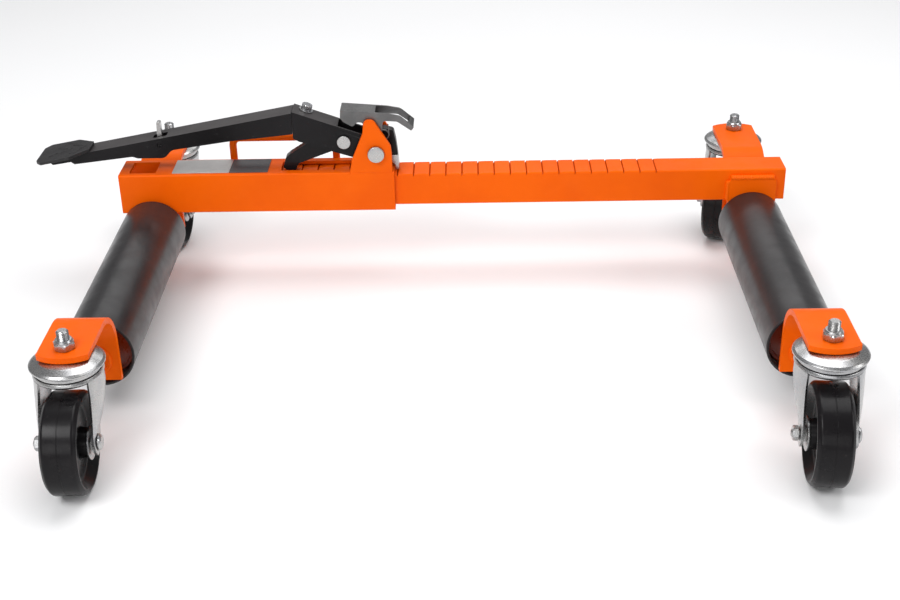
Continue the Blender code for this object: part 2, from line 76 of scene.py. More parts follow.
# ---- materials -----------------------------------------------------------------------------------
class Graph:
    """Small helper for node trees."""

    def __init__(self, name):
        self.mat = bpy.data.materials.new(name)
        self.mat.use_nodes = True
        self.tree = self.mat.node_tree
        self.bsdf = self.tree.nodes["Principled BSDF"]
        self.place = self.node("ShaderNodeTexCoord").outputs["Object"]

    def node(self, kind, **values):
        made = self.tree.nodes.new(kind)
        for key, value in values.items():
            setattr(made, key, value)
        return made

    def link(self, a, b):
        self.tree.links.new(a, b)

    def noise(self, scale, detail=3.0, stretch=(1, 1, 1), rough=0.55, at=(0, 0, 0)):
        where = self.node("ShaderNodeMapping")
        where.inputs["Scale"].default_value = stretch
        where.inputs["Location"].default_value = at
        self.link(self.place, where.inputs["Vector"])
        tex = self.node("ShaderNodeTexNoise")
        tex.inputs["Scale"].default_value = scale
        tex.inputs["Detail"].default_value = detail
        tex.inputs["Roughness"].default_value = rough
        self.link(where.outputs["Vector"], tex.inputs["Vector"])
        return tex.outputs["Fac"]

    def window(self, value, low, high, out0=0.0, out1=1.0):
        spread = self.node("ShaderNodeMapRange")
        spread.interpolation_type = "SMOOTHSTEP"
        for key, number in (("From Min", low), ("From Max", high), ("To Min", out0), ("To Max", out1)):
            spread.inputs[key].default_value = number
        self.link(value, spread.inputs["Value"])
        return spread.outputs["Result"]

    def times(self, a, b):
        calc = self.node("ShaderNodeMath", operation="MULTIPLY")
        self.link(a, calc.inputs[0])
        if isinstance(b, (int, float)):
            calc.inputs[1].default_value = b
        else:
            self.link(b, calc.inputs[1])
        return calc.outputs[0]

    def mix(self, factor, a, b):
        blend = self.node("ShaderNodeMix", data_type="RGBA")
        self.link(factor, blend.inputs["Factor"])
        for value, socket in ((a, blend.inputs["A"]), (b, blend.inputs["B"])):
            if isinstance(value, tuple):
                socket.default_value = (*value, 1.0)
            else:
                self.link(value, socket)
        return blend.outputs["Result"]

    def mask(self, name):
        got = self.node("ShaderNodeAttribute", attribute_name=name)
        return got.outputs["Fac"]

    def bump(self, *layers):
        last = None
        for height, strength, depth in layers:
            made = self.node("ShaderNodeBump")
            made.inputs["Strength"].default_value = strength
            made.inputs["Distance"].default_value = depth
            self.link(height, made.inputs["Height"])
            if last is not None:
                self.link(last, made.inputs["Normal"])
            last = made.outputs["Normal"]
        self.link(last, self.bsdf.inputs["Normal"])


def coat(name, base, shade, rough, edge_wear_and_highlight, dust=(0.5, 0.45, 0.4), grain=700.0, peel=0.05, clear=0.0,
         stretch=(1, 1, 1), notch_shade=None, dusty=0.05, shine=0.5, top_highlight=0.0):
    """Painted or moulded surface: soft colour drift, peel, dust, edge tone (rubbed wear, and a painted highlight
    along folds on the black coat), painted shade in notches, painted highlight on upward faces.
    """
    g = Graph(name)
    drift = g.window(g.noise(11.0, 4.0), 0.32, 0.68)
    colour = g.mix(drift, base, shade)
    specks = g.times(g.window(g.noise(260.0, 2.0), 0.66, 0.74), dusty * 2.5)
    film = g.times(g.window(g.noise(34.0, 5.0, rough=0.65), 0.5, 0.8), dusty)
    colour = g.mix(film, colour, dust)
    colour = g.mix(specks, colour, dust)
    # edge tone: rubbed wear on most coats; on the black coat the lighter edge colour also paints a highlight along
    # the folds
    rub_and_highlight = g.times(g.mask("edge"), g.window(g.noise(95.0, 4.0), 0.42, 0.62, 0.08, 0.55))
    colour = g.mix(rub_and_highlight, colour, edge_wear_and_highlight)
    # painted shade: the notch colour darkens the recessed faces of the tooth notches
    if notch_shade:
        colour = g.mix(g.times(g.mask("notch_shade"), g.window(g.noise(60.0, 4.0), 0.2, 0.7, 0.55, 1.0)), colour, notch_shade)
    # painted highlight: faces turned upwards are lightened towards the dust colour, standing in for light falling
    # from above
    if top_highlight:
        facing = g.node("ShaderNodeSeparateXYZ")
        g.link(g.node("ShaderNodeNewGeometry").outputs["Normal"], facing.inputs[0])
        lying = g.times(g.window(facing.outputs["Z"], 0.75, 0.98), g.window(g.noise(18.0, 4.0), 0.2, 0.7, 0.6, 1.0))
        colour = g.mix(g.times(lying, top_highlight), colour, dust)
    g.link(colour, g.bsdf.inputs["Base Color"])
    g.link(g.window(g.noise(46.0, 4.0), 0.3, 0.7, rough - 0.05, rough + 0.07), g.bsdf.inputs["Roughness"])
    g.bsdf.inputs["Specular IOR Level"].default_value = shine
    if clear:
        g.bsdf.inputs["Coat Weight"].default_value = clear
        g.bsdf.inputs["Coat Roughness"].default_value = 0.12
    g.bump((g.noise(grain, 2.0, stretch), peel, 0.0006), (g.noise(55.0, 3.0), 0.05, 0.0012))
    return g.mat


def metal(name, base, tint, rough, scratch=(1, 1, 1), fine=0.06, depth=0.0004, brushed=900.0, edge=(0.8, 0.8, 0.8),
          dents=0.05, full=1.0):
    """Plated or bare metal: cloudy plating, directional scratches, bright rubbed edges."""
    g = Graph(name)
    cloud = g.window(g.noise(38.0, 5.0, rough=0.6), 0.3, 0.72)
    colour = g.mix(cloud, base, tint)
    spots = g.times(g.window(g.noise(420.0, 2.0), 0.62, 0.72), 0.18)
    colour = g.mix(spots, colour, tuple(c * 0.55 for c in base))
    colour = g.mix(g.times(g.mask("edge"), 0.5), colour, edge)
    g.link(colour, g.bsdf.inputs["Base Color"])
    g.bsdf.inputs["Metallic"].default_value = full
    lines = g.noise(brushed, 3.0, scratch)
    g.link(g.window(lines, 0.3, 0.7, rough - 0.06, rough + 0.1), g.bsdf.inputs["Roughness"])
    g.bump((lines, fine, depth), (g.noise(120.0, 3.0), dents, 0.0006))
    return g.mat


MAT = {
    # orange coat: its notch colour is painted shade for the tooth notches of the inner tube
    "orange_paint": coat("orange_powder_coat", (0.89, 0.122, 0.0), (0.83, 0.104, 0.0), 0.40,
                         (0.72, 0.078, 0.0), dust=(0.92, 0.24, 0.04), grain=620.0, peel=0.07, clear=0.02,
                         notch_shade=(0.56, 0.070, 0.002), dusty=0.04, shine=0.08),
    # black coat: its lighter edge colour paints a highlight along the folds, and its upward faces are lightened as a
    # painted highlight
    "black_paint": coat("black_powder_coat", (0.005, 0.0045, 0.005), (0.008, 0.007, 0.008), 0.34,
                        (0.040, 0.038, 0.042), dust=(0.12, 0.11, 0.11), grain=780.0, peel=0.05, clear=0.10,
                        dusty=0.03, shine=0.13, top_highlight=0.45),
    "roller_coat": coat("roller_black_coat", (0.016, 0.015, 0.016), (0.024, 0.022, 0.023), 0.33,
                        (0.10, 0.09, 0.085), dust=(0.20, 0.18, 0.17), grain=520.0, peel=0.04,
                        stretch=(1.0, 0.15, 1.0), clear=0.06, dusty=0.025, shine=0.33),
    "wheel_black": coat("wheel_black_moulding", (0.005, 0.0045, 0.005), (0.008, 0.007, 0.008), 0.30,
                        (0.05, 0.048, 0.046), dust=(0.15, 0.135, 0.13), grain=380.0, peel=0.06, clear=0.06,
                        dusty=0.03, shine=0.13),
    "nylon": coat("black_ribbed_rubber", (0.012, 0.011, 0.012), (0.018, 0.017, 0.018), 0.50,
                  (0.06, 0.06, 0.06), dust=(0.20, 0.19, 0.18), grain=1500.0, peel=0.25, dusty=0.06, shine=0.4),
    # painted reflection: the dark red-orange stands in for the orange bracket reflected in the glossy black roller
    # ends
    "end_disc": coat("end_disc_painted_reflection", (0.20, 0.020, 0.001), (0.10, 0.009, 0.001), 0.30, (0.10, 0.02, 0.01),
                     dust=(0.10, 0.04, 0.03), grain=420.0, peel=0.06, clear=0.2),
    "zinc": metal("bright_zinc", (0.47, 0.465, 0.455), (0.38, 0.385, 0.40), 0.28, fine=0.015, dents=0.015,
                  edge=(0.7, 0.7, 0.7)),
    "steel": metal("grey_steel", (0.17, 0.168, 0.167), (0.13, 0.13, 0.13), 0.40, scratch=(1, 0.2, 1), fine=0.12,
                   edge=(0.5, 0.5, 0.5)),
    "label_metal": metal("brushed_label", (0.50, 0.48, 0.47), (0.44, 0.425, 0.415), 0.36, scratch=(0.04, 1, 1),
                         fine=0.18, brushed=1400.0, full=0.45),
    "label_dark": coat("dark_label", (0.045, 0.046, 0.050), (0.055, 0.056, 0.06), 0.42, (0.2, 0.2, 0.2),
                       dust=(0.30, 0.29, 0.28), grain=1400.0, peel=0.05),
}


# ---- mesh helpers --------------------------------------------------------------------------------
def prism(outline, y0, y1):
    n = len(outline)
    pts = [(x, y0, z) for x, z in outline] + [(x, y1, z) for x, z in outline]
    faces = [tuple(range(n)), tuple(range(2 * n - 1, n - 1, -1))]
    faces += [(i, i + n, (i + 1) % n + n, (i + 1) % n) for i in range(n)]
    return pts, faces


def slab(outline, z0, z1):
    """Outline in X and Y, pushed along Z."""
    pts, faces = prism(outline, z0, z1)
    return [(x, z, y) for x, y, z in pts], faces


def fillet(outline, radii, steps=6):
    """Round the corners of a closed outline; radii is one number or one for each corner."""
    n, out = len(outline), []
    if isinstance(radii, (int, float)):
        radii = [radii] * n
    for i, r in enumerate(radii):
        p, a, b = (Vector(outline[k % n]) for k in (i, i - 1, i + 1))
        u, v = (a - p), (b - p)
        lu, lv = u.length, v.length
        u.normalize()
        v.normalize()
        half = math.acos(max(-1, min(1, u.dot(v)))) / 2
        if r <= 0 or abs(half - math.pi / 2) < 0.03:
            out.append(tuple(p))
            continue
        reach = min(r / math.tan(half), 0.48 * lu, 0.48 * lv)
        r = reach * math.tan(half)
        centre = p + (u + v).normalized() * (r / math.sin(half))
        start, end = p + u * reach - centre, p + v * reach - centre
        turn = start.angle_signed(end)
        for k in range(steps + 1):
            angle = -turn * k / steps
            c, s = math.cos(angle), math.sin(angle)
            out.append((centre.x + start.x * c - start.y * s, centre.y + start.x * s + start.y * c))
    return out


def spin(profile, n=96, loop=False):
    """Profile of (radius, height) turned about Z."""
    pts, rows, faces = [], [], []
    for r, h in profile:
        if r < 1e-6:
            rows.append([len(pts)] * n)
            pts.append((0.0, 0.0, h))
        else:
            rows.append(list(range(len(pts), len(pts) + n)))
            for k in range(n):
                a = 2 * math.pi * k / n
                pts.append((r * math.cos(a), r * math.sin(a), h))
    for i in range(len(rows) if loop else len(rows) - 1):
        a, b = rows[i], rows[(i + 1) % len(rows)]
        for k in range(n):
            quad = [a[k], a[(k + 1) % n], b[(k + 1) % n], b[k]]
            face = [v for j, v in enumerate(quad) if v != quad[j - 1]]
            if len(face) > 2:
                faces.append(tuple(face))
    return pts, faces


def soft(profile, r=0.8, loop=False, steps=3):
    """Profile with its corners rounded."""
    if loop:
        return fillet(profile, r, steps)
    radii = [0] + [r] * (len(profile) - 2) + [0]
    return fillet(profile, radii, steps)


def shell(outer, inner):
    rows, cols = len(outer), len(outer[0])
    pts = [p for row in outer for p in row] + [p for row in inner for p in row]
    base, faces = rows * cols, []

    def at(i, j, side):
        return side * base + i * cols + j
    for i in range(rows - 1):
        for j in range(cols - 1):
            for s in (0, 1):
                faces.append((at(i, j, s), at(i + 1, j, s), at(i + 1, j + 1, s), at(i, j + 1, s)))
        for j in (0, cols - 1):
            faces.append((at(i, j, 0), at(i + 1, j, 0), at(i + 1, j, 1), at(i, j, 1)))
    for j in range(cols - 1):
        for i in (0, rows - 1):
            faces.append((at(i, j, 0), at(i, j + 1, 0), at(i, j + 1, 1), at(i, j, 1)))
    return pts, faces


def rod(path, radius, sides=20, closed=False, ripple=0.0, flat=1.0):
    """Round rod along points; ripple makes the rings of a weld bead."""
    path = [Vector(p) for p in path]
    pts, faces, side, n = [], [], None, len(path)
    for i, p in enumerate(path):
        a, b = (path[(i - 1) % n], path[(i + 1) % n]) if closed else (path[max(i - 1, 0)], path[min(i + 1, n - 1)])
        ahead = (b - a).normalized()
        if side is None:
            side = ahead.orthogonal().normalized()
        side = (side - ahead * side.dot(ahead)).normalized()
        up = ahead.cross(side)
        r = radius * (1 + ripple * math.sin(i * 2.1))
        if not closed and ripple and i in (0, n - 1):
            r *= 0.45
        for k in range(sides):
            a = 2 * math.pi * k / sides
            pts.append(tuple(p + side * (math.cos(a) * r) + up * (math.sin(a) * r * flat)))
    for i in range(n if closed else n - 1):
        for k in range(sides):
            m, j = (k + 1) % sides, (i + 1) % n
            faces.append((i * sides + k, i * sides + m, j * sides + m, j * sides + k))
    if not closed:
        faces.append(tuple(range(sides)))
        faces.append(tuple(range(len(pts) - 1, len(pts) - sides - 1, -1)))
    return pts, faces


def bead(a, b, radius=1.7, flat=1.0):
    a, b = Vector(a), Vector(b)
    n = max(6, int((b - a).length / 0.9))
    return rod([a.lerp(b, k / n) for k in range(n + 1)], radius, 10, ripple=0.10, flat=flat)


def ring_bead(centre, radius, thick, n=72):
    x, y, z = centre
    path = [(x + radius * math.cos(2 * math.pi * k / n), y, z + radius * math.sin(2 * math.pi * k / n))
            for k in range(n)]
    return rod(path, thick, 10, closed=True, ripple=0.07)


def hexagon(flats, z0, z1, crown=0.9):
    """Hex with both ends chamfered to a circle."""
    body = []
    for z, cut in ((z0, crown), (z0 + crown, 0), (z1 - crown, 0), (z1, crown)):
        for k in range(36):
            a = math.radians(10 * k)
            hexed = flats / 2 / math.cos((a + math.pi / 6) % (math.pi / 3) - math.pi / 6)
            r = min(hexed, flats / math.sqrt(3) - cut * 1.25)
            body.append((r * math.cos(a), r * math.sin(a), z))
    faces = [tuple(range(36)), tuple(range(143, 107, -1))]
    for i in range(3):
        for k in range(36):
            faces.append((i * 36 + k, i * 36 + (k + 1) % 36, (i + 1) * 36 + (k + 1) % 36, (i + 1) * 36 + k))
    return body, faces


def thread(r, z0, z1, pitch=1.5, deep=0.75):
    """Profile of a threaded end, top chamfered."""
    out, z = [(r, z0)], z0
    while z + pitch < z1 - 1.4:
        out += [(r - deep, z + pitch * 0.5), (r, z + pitch)]
        z += pitch
    return out + [(r, z1 - 1.4), (r - 1.5, z1), (0, z1)]


def moved(body, matrix):
    return [tuple(matrix @ Vector(p)) for p in body[0]], body[1]


def at(x, y, z):
    return Matrix.Translation((x, y, z))


def turn(axis, degrees):
    return Matrix.Rotation(math.radians(degrees), 4, axis)


ALONG_Y, ALONG_X = turn("X", -90), turn("Y", 90)


def cyl_y(x, z, r, y0, y1, n=64):
    return moved(spin([(0, y0), (r, y0), (r, y1), (0, y1)], n), at(x, 0, z) @ ALONG_Y)


def box(x0, x1, y0, y1, z0, z1):
    return prism([(x0, z0), (x1, z0), (x1, z1), (x0, z1)], y0, y1)


def raw(name, body):
    mesh = bpy.data.meshes.new(name)
    mesh.from_pydata(body[0], [], body[1])
    bm = bmesh.new()
    bm.from_mesh(mesh)
    bmesh.ops.remove_doubles(bm, verts=bm.verts, dist=1e-4)
    bmesh.ops.recalc_face_normals(bm, faces=bm.faces)
    bm.to_mesh(mesh)
    bm.free()
    obj = bpy.data.objects.new(name, mesh)
    bpy.context.scene.collection.objects.link(obj)
    return obj


def combine(obj, body, how):
    tool = raw(obj.name + "_tool", body)
    mod = obj.modifiers.new("step", "BOOLEAN")
    mod.operation, mod.solver, mod.object = how, "EXACT", tool
    bpy.context.view_layer.update()
    mesh = bpy.data.meshes.new_from_object(obj.evaluated_get(bpy.context.evaluated_depsgraph_get()))
    obj.modifiers.clear()
    obj.data = mesh
    bpy.data.objects.remove(tool, do_unlink=True)


def piece(name, body, rides, slot, add=(), cut=(), keep=(), parts=(), edge=0.6, big=None, sharp=28, notch_shade=None,
          replaces=(), look=None):
    """A finished piece: booleans, loose extra shells, softened edges, masks, material and body."""
    obj = raw(name, body)
    for how, bodies in (("UNION", add), ("DIFFERENCE", cut), ("INTERSECT", keep)):
        for tool in bodies:
            combine(obj, tool, how)
    mesh = obj.data
    bm = bmesh.new()
    bm.from_mesh(mesh)
    bmesh.ops.remove_doubles(bm, verts=bm.verts, dist=2e-3)
    bmesh.ops.dissolve_limit(bm, angle_limit=0.004, verts=bm.verts, edges=bm.edges)
    bmesh.ops.recalc_face_normals(bm, faces=bm.faces)
    rim = bm.faces.layers.float.new("edge")
    dark = bm.faces.layers.float.new("notch_shade")

    def soften(edges, width, segments):
        made = bmesh.ops.bevel(bm, geom=edges, offset=width, segments=segments, profile=0.5, affect="EDGES",
                               clamp_overlap=True, offset_type="OFFSET")
        for face in made["faces"]:
            face[rim] = 1.0
    if big:
        width, chosen = big
        soften([e for e in bm.edges if len(e.link_faces) == 2 and e.calc_face_angle(0) > math.radians(sharp)
                and chosen(e.verts[0].co, e.verts[1].co)], width, 6)
        # fold bevels keep a weaker edge mark, which on the black coat paints a faint highlight along each fold
        for face in bm.faces:
            face[rim] *= 0.35
    if edge:
        soften([e for e in bm.edges if len(e.link_faces) == 2 and e.calc_face_angle(0) > math.radians(sharp)],
               edge, 2)
    for body_extra in parts:
        extra = bpy.data.meshes.new(name + "_extra")
        extra.from_pydata([Vector(p) for p in body_extra[0]], [], body_extra[1])
        start = len(bm.faces)
        bm.from_mesh(extra)
        bm.faces.ensure_lookup_table()
        bmesh.ops.recalc_face_normals(bm, faces=bm.faces[start:])
        bpy.data.meshes.remove(extra)
    for face in bm.faces:
        face.smooth = True
        # faces inside the tooth notches take the painted-shade mask
        if notch_shade and notch_shade(face.calc_center_median(), face.normal):
            face[dark] = 1.0
    for e in bm.edges:
        e.smooth = not (len(e.link_faces) == 2 and e.calc_face_angle(0) > math.radians(42))
    bm.to_mesh(mesh)
    bm.free()
    mesh.transform(Matrix.Scale(0.001, 4))
    mesh.materials.clear()
    mesh.materials.append(MAT[look or slot])
    level = obj.modifiers.new("level_normals", "WEIGHTED_NORMAL")
    level.keep_sharp, level.weight = True, 70
    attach(obj, rides)
    if replaces:
        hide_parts(*replaces)
    return obj


# ---- beam ----------------------------------------------------------------------------------------
DATUM = TUBE0.x + 401.0


def shift(outline):
    """Outlines are drawn from a datum 401 mm right of the beam's left end."""
    return [(x + DATUM, z) for x, z in outline]


def square_bar(half, radius, x0, x1, hole=None, hole_top=None):
    """Square bar or tube along the beam line; hole is (half width, radius)."""
    def loop(h, r, top=None):
        top = h if top is None else top
        return fillet([(BEAM_Y - h, MID_Z - h), (BEAM_Y + h, MID_Z - h), (BEAM_Y + h, MID_Z + top),
                       (BEAM_Y - h, MID_Z + top)], r, 8)
    rings = [loop(half, radius)] + ([loop(hole[0], hole[1], hole_top)] if hole else [])
    n = len(rings[0])
    pts = [(x, y, z) for ring in rings for x in (x0, x1) for y, z in ring]
    faces = []
    for s in range(len(rings)):
        faces += [(2 * n * s + k, 2 * n * s + (k + 1) % n, 2 * n * s + n + (k + 1) % n, 2 * n * s + n + k)
                  for k in range(n)]
    if hole:
        faces += [(c * n + k, c * n + (k + 1) % n, (2 + c) * n + (k + 1) % n, (2 + c) * n + k)
                  for c in (0, 1) for k in range(n)]
    else:
        faces += [tuple(range(n)), tuple(range(n, 2 * n))]
    return pts, faces


def rounded_hole(x0, x1, half, z0, z1, r):
    return slab(fillet([(x0, BEAM_Y - half), (x1, BEAM_Y - half), (x1, BEAM_Y + half), (x0, BEAM_Y + half)], r),
                z0, z1)


piece("outer_tube", square_bar(OUTER / 2, 2.2, TUBE0.x, TUBE1.x, hole=(OUTER / 2 - 4, 1.2)), "frame",
      "orange_paint", edge=0.5, replaces=["outer_beam"],
      cut=[rounded_hole(DATUM - 205.0, DATUM - 121.0, 14, MID_Z + 10, BEAM_TOP + 9, 1.5),
           rounded_hole(DATUM - 389.0, DATUM - 357.0, 17, MID_Z + 10, BEAM_TOP + 9, 2.0)])

# toothed inner tube, its top wall left thick under the teeth
PITCH, FIRST = 19.5, RACK0.x + 13.0
count = int((RACK1.x - 2 - FIRST) // PITCH) + 1
cutters = []
for k in range(count):
    x = FIRST + k * PITCH
    cutters.append(prism([(x - 0.1, INNER_TOP + 2), (x + 0.4, INNER_TOP - 3.2), (x + 0.8, INNER_TOP - 3.1),
                          (x + 1.8, INNER_TOP - 0.9), (x + 8.0, INNER_TOP), (x + 8.6, INNER_TOP + 2)],
                         BEAM_Y - 24, BEAM_Y + 24))
joined, faces_all = [], []
for pts, faces in cutters:
    faces_all += [tuple(v + len(joined) for v in face) for face in faces]
    joined += pts
# the faces in the tooth notches get painted shade, darker orange in the recesses
piece("inner_tube", square_bar(INNER / 2, 2.2, BAR0.x, BAR1.x, hole=(INNER / 2 - 3.5, 1.2), hole_top=13.4),
      "slide", "orange_paint", cut=[(joined, faces_all)], edge=0.35, replaces=["inner_beam", "ratchet_rack"],
      notch_shade=lambda c, n: INNER_TOP - 4.7 < c.z < INNER_TOP - 0.9 and abs(n.x) > 0.3 and c.x < RACK1.x)

EAR = fillet(shift([(-121.0, BEAM_TOP - 0.5), (-117.5, 159.0), (-103.4, 192.0), (-101.6, 208.5), (-90.0, 208.5),
                    (-70.5, 176.0), (-69.5, 166.0), (-69.5, BEAM_TOP - 0.5)]), [0, 20, 12, 6.0, 7.0, 10, 12, 0], 8)
for tag, y0 in (("front", BEAM_Y - 25), ("rear", BEAM_Y + 20)):
    side = -1 if tag == "front" else 1
    foot = BEAM_Y + side * 22.4
    piece("ear_plate_" + tag, prism(EAR, y0, y0 + 5), "frame", "orange_paint",
          cut=[cyl_y(PX, PZ, 5.4, y0 - 3, y0 + 8)], edge=0.7, replaces=["ear_" + tag],
          parts=[bead((DATUM - 120.5, foot + side * 1.9, BEAM_TOP - 0.9),
                      (DATUM - 70.2, foot + side * 1.9, BEAM_TOP - 0.9), 1.0, 0.8)])

head = soft([(0, -30.2), (10.0, -30.2), (10.0, -25.2), (5.0, -25.2), (5.0, 25.3), (8.5, 25.3), (8.5, 28.3),
             (0, 28.3)], 0.8)
piece("main_pin", moved(spin(head, 72), at(PX, BEAM_Y, PZ) @ ALONG_Y), "frame", "zinc", edge=0,
      replaces=["main_pivot_pin"])

for node, slot_name in (("label_strip", "label_metal"), ("rating_plate", "label_dark")):
    a, b = span(node)
    piece(node + "_sheet", slab(fillet([(a.x, a.y), (b.x, a.y), (b.x, b.y), (a.x, b.y)], 1.2), a.z, b.z), "frame",
          slot_name, edge=0.2, replaces=[node])

a, b = span("carry_handle")
hy = (a.y + b.y) / 2
ROD_R = 4.5
left, right, top, low = a.x + ROD_R, b.x - ROD_R, b.z - ROD_R, a.z
path = [(x, hy, z) for x, z in fillet([(left, low), (left, top), (right, top), (right, low)], [0, 9, 9, 0], 12)]
piece("carry_rod", rod(path, ROD_R, 28), "frame", "orange_paint", edge=0.5, replaces=["carry_handle"],
      parts=[bead((x + dx, hy - 3.2, low + 4), (x + dx, hy - 3.2, BEAM_TOP - 5), 1.7)
             for x in (left, right) for dx in (-4.0, 4.0)])


# ---- brackets, axles and rollers -------------------------------------------------------------------
def bent_plate(name, node, rides, axle_x, base, sign):
    """Bracket plate with a rounded front edge, one bend and welded rings round the axle."""
    a, b = span(node)
    top, low = b.z, a.z
    plate = max(abs(a.y - base), abs(b.y - base))
    half, thick, bend = (b.x - a.x) / 2, 6.0, 43.0
    front_radius = 42.0
    front = min((a.y - base) * sign, (b.y - base) * sign)
    xs = [half * k / 14 for k in range(-14, 15)]
    grids = []
    for offset in (0.0, thick):
        rows = [(None, top - offset), (plate - bend, top - offset)]
        for k in range(1, 19):
            t, r = math.pi / 2 * k / 18, bend - offset
            rows.append((plate - bend + r * math.sin(t), top - bend + r * math.cos(t)))
        rows.append((plate - offset, low))
        grid = []
        for y, z in rows:
            edge_line = [front + front_radius - math.sqrt(front_radius ** 2 - x * x) for x in xs]
            grid.append([(axle_x + x, base + sign * (e if y is None else y), z) for x, e in zip(xs, edge_line)])
        grids.append(grid)
    wall = base + sign * plate
    rings = [ring_bead((axle_x, wall + sign * 0.4, axle_height), 13.0, 2.4),
             ring_bead((axle_x, wall - sign * thick, axle_height), 15.6, 1.9)]
    piece(name, shell(*grids), rides, "orange_paint", replaces=[node], sharp=40, edge=0.9, parts=rings,
          cut=[moved(spin([(0, -20), (6.6, -20), (6.6, 9), (0, 9)], 48), at(axle_x, base, top)),
               cyl_y(axle_x, axle_height, 10.3, wall - 12, wall + 12)])


a, b = span("axle_left")
axle_height = (a.z + b.z) / 2
SIDES = {"left": "frame", "right": "slide"}
CORNERS = {"nl": ("near", "left"), "nr": ("near", "right"), "fl": ("far", "left"), "fr": ("far", "right")}
for key, (row, hand) in CORNERS.items():
    spot = [v * 1000 for v in JOINTS[f"caster_{key}_swivel"]["pos_m"]]
    sign = 1 if row == "near" else -1
    bent_plate(f"bent_plate_{row}_{hand}", f"bracket_{row}_{hand}", SIDES[hand], spot[0], spot[1], sign)

for hand, body in SIDES.items():
    a, b = span("axle_" + hand)
    x = (a.x + b.x) / 2
    line = soft([(0, a.y), (10.0, a.y), (10.0, b.y), (0, b.y)], 1.2)
    piece("axle_bar_" + hand, moved(spin(line, 56), at(x, 0, axle_height) @ ALONG_Y), body, "orange_paint", edge=0,
          replaces=["axle_" + hand])
    a, b = span("roller_" + hand)
    outer = (b.z - a.z) / 2
    ring = fillet([(outer - 3, a.y), (outer, a.y), (outer, b.y), (outer - 3, b.y)], 0.9, 3)
    piece("roller_tube_" + hand, moved(spin(ring, 160, loop=True), at(x, 0, axle_height) @ ALONG_Y),
          hand + "_roller", "roller_coat", edge=0, replaces=["roller_" + hand])
    for where in ("near", "far"):
        node = f"bushing_{where}_{hand}"
        a, b = span(node)
        r, y0, y1 = (b.z - a.z) / 2, a.y, b.y
        disc = fillet([(10.6, y0), (15.5, y0), (16.5, y0 + 2.2), (r - 4, y0 + 2.2), (r - 3, y0), (r, y0), (r, y1),
                       (r - 3, y1), (r - 4, y1 - 2.2), (16.5, y1 - 2.2), (15.5, y1), (10.6, y1)], 0.5, 3)
        # the end discs take the red-orange disc material, a painted orange reflection
        piece(f"end_disc_{where}_{hand}", moved(spin(disc, 96, loop=True), at(x, 0, axle_height) @ ALONG_Y),
              hand + "_roller", "nylon", edge=0, replaces=[node], look="end_disc")

a, b = span("saddle_plate")
cx = (a.x + b.x) / 2
plate = fillet([(a.x, a.z), (b.x, a.z), (b.x, b.z), (a.x, b.z)], [3, 3, 6, 6])
piece("saddle_sheet", prism(plate, a.y, b.y), "slide", "orange_paint", replaces=["saddle_plate"], edge=0.6,
      cut=[cyl_y(cx, axle_height, 10.4, a.y - 9, b.y + 9)],
      parts=[bead((a.x + 2, a.y + 2.2, b.z + 0.9), (b.x - 3, a.y + 2.2, b.z + 0.9), 3.3),
             bead((a.x - 0.2, a.y + 2.2, b.z - 3), (a.x - 0.2, a.y + 2.2, MID_Z - INNER / 2 + 1), 2.7),
             ring_bead((cx, a.y - 0.2, axle_height), 12.4, 2.2)])


# ---- casters -----------------------------------------------------------------------------------------
def smooth_rows(rows, steps):
    """Cubic in-betweens of rows of numbers."""
    out = []
    for i in range(len(rows) - 1):
        p = [rows[max(i - 1, 0)], rows[i], rows[i + 1], rows[min(i + 2, len(rows) - 1)]]
        for k in range(steps):
            t = k / steps
            out.append(tuple(0.5 * (2 * b + (c - a) * t + (2 * a - 5 * b + 4 * c - d) * t * t
                                    + (3 * b - a - 3 * c + d) * t ** 3) for a, b, c, d in zip(*p)))
    return out + [rows[-1]]


LEG = smooth_rows([(112.0, 33.0, 9.0, 0.0, 25.0, 1.0), (103.5, 33.1, 8.6, -1.4, 25.8, 0.7),
                   (95.0, 33.1, 8.0, -3.5, 26.0, 0.4), (76.0, 31.2, 5.4, -15.0, 22.5, 0.1),
                   (59.5, 27.4, 1.6, -28.0, 16.0, 0.0), (47.0, 27.3, 0.3, -33.3, 11.8, 0.0),
                   (39.5, 27.0, 0.0, -33.3, 6.0, 0.0)], 4)


def fork_leg(side):
    outer, inner = [], []
    for z, reach, bow, mid, half, curl in LEG:
        p, q = [], []
        for j in range(17):
            u = j / 8 - 1
            angle = math.radians(50 * u) * max(bow, 0) / 11.8
            bent = math.sin(math.radians(50 * u)) / math.sin(math.radians(50))
            x, y = reach - bow * u * u, mid + half * (bent * curl + u * (1 - curl))
            p.append((side * x, y, z))
            q.append((side * (x - 2.6 * math.cos(angle)), y - 2.6 * math.sin(angle), z))
        outer.append(p)
        inner.append(q)
    return shell(outer, inner)


